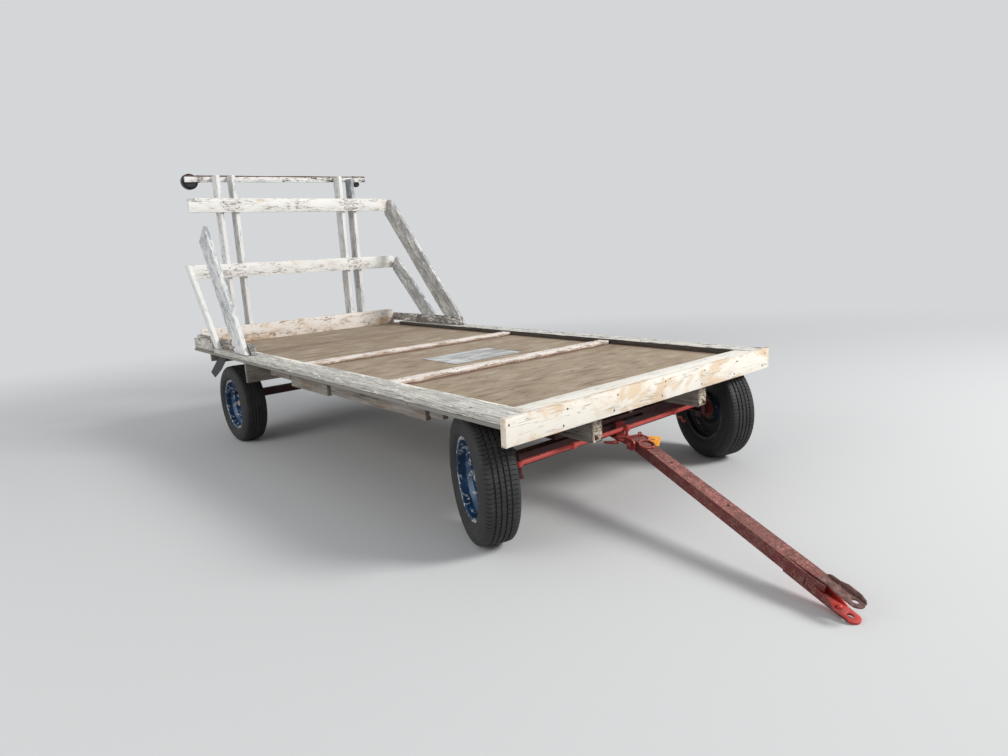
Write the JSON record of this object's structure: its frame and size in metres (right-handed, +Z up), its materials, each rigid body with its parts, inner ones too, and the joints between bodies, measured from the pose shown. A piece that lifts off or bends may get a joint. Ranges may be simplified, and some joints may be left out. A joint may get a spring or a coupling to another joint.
{
  "type": "hay wagon",
  "caption": "Old flat-bed hay wagon with a peeling white timber deck and rear rack on a rusty red steered four-wheel running gear, parked with its tongue on the ground.",
  "frame": {"origin": "ground level under the middle of the whole wagon's length, on its centre line", "axes": "+X forward towards the tongue, +Y to the wagon's left, +Z up"},
  "size_m": [6.2724, 2.4784, 2.6153],
  "materials": {
    "white_paint": "old white paint, cracked and peeling to grey wood",
    "plywood": "weathered plywood, streaked and stained",
    "worn_plate": "worn pale paint, matt",
    "grey_timber": "weathered grey brown timber",
    "black_paint": "black, satin",
    "rubber_sheet": "matt",
    "red_paint": "faded red paint with rust",
    "rusty_steel": "rough rust",
    "bright_red_paint": "worn red paint",
    "amber_plastic": "dull",
    "tyre_black": "matt, dusty",
    "blue_paint": "chipped blue paint"
  },
  "bodies": {
    "wagon_frame": {"side_board_right": "white_paint", "side_board_left": "white_paint", "front_board": "white_paint", "front_filler": "white_paint", "battens": "white_paint", "corner_board": "white_paint", "rear_kick_board": "white_paint", "side_kick_boards": "white_paint", "rack_uprights": "white_paint", "upper_rack_board": "white_paint", "middle_rack_board": "white_paint", "long_brace_right": "white_paint", "long_brace_left": "white_paint", "short_brace_right": "white_paint", "short_brace_left": "white_paint", "light_bar": "white_paint", "deck_sheets": "plywood", "repair_plate": "worn_plate", "sills": "grey_timber", "cross_joists": "grey_timber", "edge_timbers_left": "grey_timber", "edge_timbers_right": "grey_timber", "flood_lamp": "black_paint", "small_lamp": "black_paint", "rubber_flap": "rubber_sheet", "front_bolster": "red_paint", "rear_bolster": "red_paint", "front_axle": "red_paint", "rear_axle": "red_paint", "reach_tube": "red_paint", "reach_braces": "red_paint"},
    "steering_yoke": {"yoke": "red_paint", "amber_plate": "amber_plastic"},
    "tongue": {"tongue_tube": "red_paint", "tongue_upper_jaw": "rusty_steel", "tongue_lower_jaw": "bright_red_paint"},
    "tie_rod": {"tie_rod": "red_paint"},
    "knuckle_left": {"knuckle_left": "red_paint"},
    "knuckle_right": {"knuckle_right": "red_paint"},
    "wheel_front_left": {"tyre_front_left": "tyre_black", "wheel_front_left": "blue_paint", "hub_front_left": "red_paint"},
    "wheel_front_right": {"tyre_front_right": "tyre_black", "wheel_front_right": "blue_paint", "hub_front_right": "red_paint"},
    "wheel_rear_left": {"tyre_rear_left": "tyre_black", "wheel_rear_left": "blue_paint", "hub_rear_left": "red_paint"},
    "wheel_rear_right": {"tyre_rear_right": "tyre_black", "wheel_rear_right": "blue_paint", "hub_rear_right": "red_paint"}
  },
  "joints": [
    {"name": "steer", "type": "hinge", "parent": "wagon_frame", "child": "steering_yoke", "pos_m": [1.4394, 0, 0.42], "axis": [0, 0, 1], "range_deg": [-9.9, 48.7]},
    {"name": "tongue_lift", "type": "hinge", "parent": "steering_yoke", "child": "tongue", "pos_m": [1.7035, -0.09301, 0.38], "axis": [-0.3322, -0.9432, 0], "range_deg": [0, 58]},
    {"name": "steer_knuckle_left", "type": "hinge", "parent": "wagon_frame", "child": "knuckle_left", "pos_m": [1.4394, 0.87, 0.42], "axis": [0, 0, 1], "range_deg": [-11.5, 56.5]},
    {"name": "steer_knuckle_right", "type": "hinge", "parent": "wagon_frame", "child": "knuckle_right", "pos_m": [1.4394, -0.87, 0.42], "axis": [0, 0, 1], "range_deg": [-11.5, 56.5]},
    {"name": "tie_rod_end", "type": "hinge", "parent": "knuckle_left", "child": "tie_rod", "pos_m": [1.5595, 0.82025, 0.44], "axis": [0, 0, 1], "range_deg": [-56.5, 11.5]},
    {"name": "wheel_spin_front_left", "type": "hinge", "parent": "knuckle_left", "child": "wheel_front_left", "pos_m": [1.50293, 1.02336, 0.36], "axis": [0.3827, 0.9239, 0], "continuous": true},
    {"name": "wheel_spin_front_right", "type": "hinge", "parent": "knuckle_right", "child": "wheel_front_right", "pos_m": [1.37587, -1.02336, 0.36], "axis": [0.3827, 0.9239, 0], "continuous": true},
    {"name": "wheel_spin_rear_left", "type": "hinge", "parent": "wagon_frame", "child": "wheel_rear_left", "pos_m": [-2.2186, 1.036, 0.36], "axis": [0, 1, 0], "continuous": true},
    {"name": "wheel_spin_rear_right", "type": "hinge", "parent": "wagon_frame", "child": "wheel_rear_right", "pos_m": [-2.2186, -1.036, 0.36], "axis": [0, 1, 0], "continuous": true}
  ],
  "couplings": [
    {"joint": "steer_knuckle_left", "follows": "steer", "ratio": 1.1598},
    {"joint": "steer_knuckle_right", "follows": "steer", "ratio": 1.1598},
    {"joint": "tie_rod_end", "follows": "steer", "ratio": -1.1598}
  ]
}
